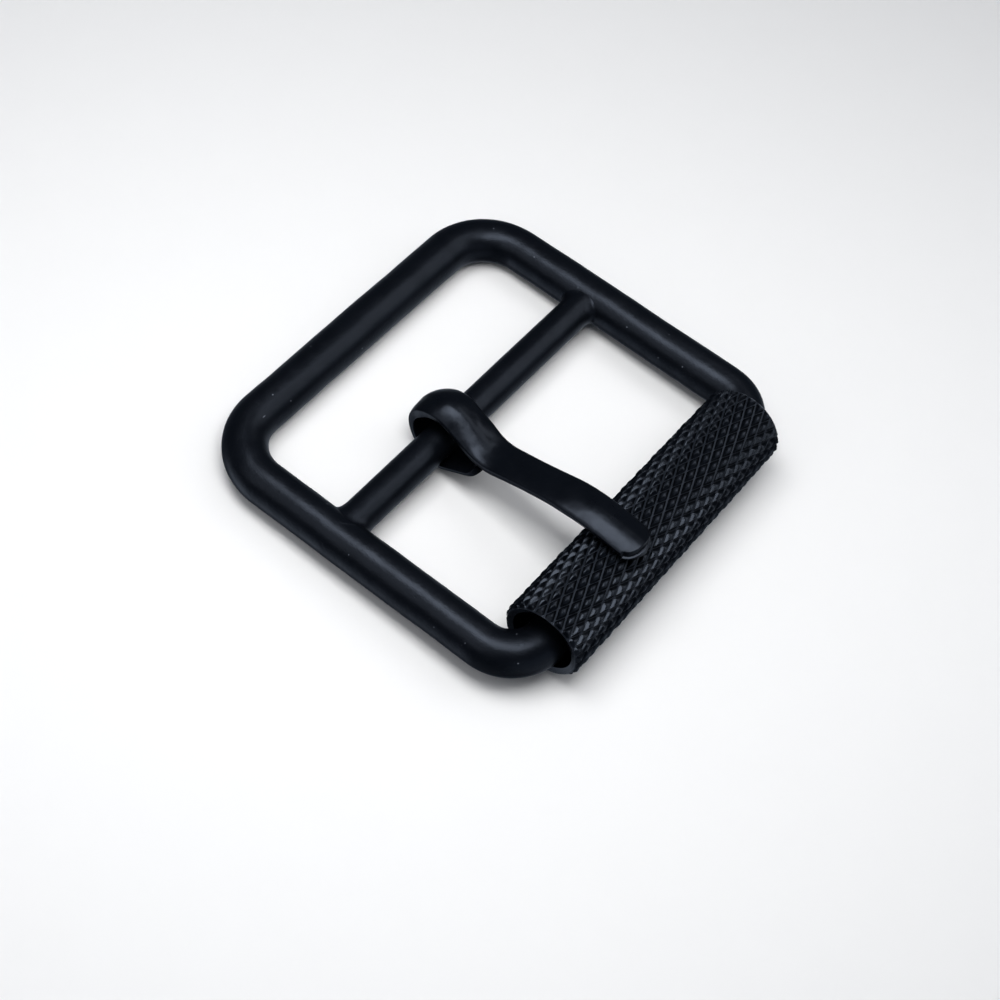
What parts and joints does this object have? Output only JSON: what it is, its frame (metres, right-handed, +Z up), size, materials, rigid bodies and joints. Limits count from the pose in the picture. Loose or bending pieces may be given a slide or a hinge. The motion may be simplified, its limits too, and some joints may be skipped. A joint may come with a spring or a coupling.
{
  "type": "roller buckle",
  "caption": "Belt buckle: a rounded rod frame with a centre bar, a bent prong hooked on the bar and a loose knurled roller on the front bar.",
  "frame": {"origin": "on the surface that the buckle lies on, under the middle of its length and width", "axes": "+X along the belt from the heel bar to the roller, +Y along the bars, +Z up from the surface"},
  "size_m": [0.0478, 0.05, 0.0116],
  "materials": {
    "frame_metal": "satin bluish-black coating on iron rod, finely pitted",
    "roller_metal": "blackened steel tube, sharply knurled, with lighter worn crests",
    "prong_metal": "satin bluish-black coating, glossier over the hood and the tip"
  },
  "bodies": {
    "frame": {"frame": "frame_metal"},
    "roller": {"roller": "roller_metal"},
    "prong": {"prong": "prong_metal"}
  },
  "joints": [
    {"name": "roller_spin", "type": "hinge", "parent": "frame", "child": "roller", "pos_m": [0.01911, 0, 0.00482], "axis": [0, 1, 0], "continuous": true},
    {"name": "prong_swing", "type": "hinge", "parent": "frame", "child": "prong", "pos_m": [-0.00473, -0.0042, 0.00391], "axis": [-0.0767, -0.9971, 0], "range_deg": [0, 150]}
  ]
}
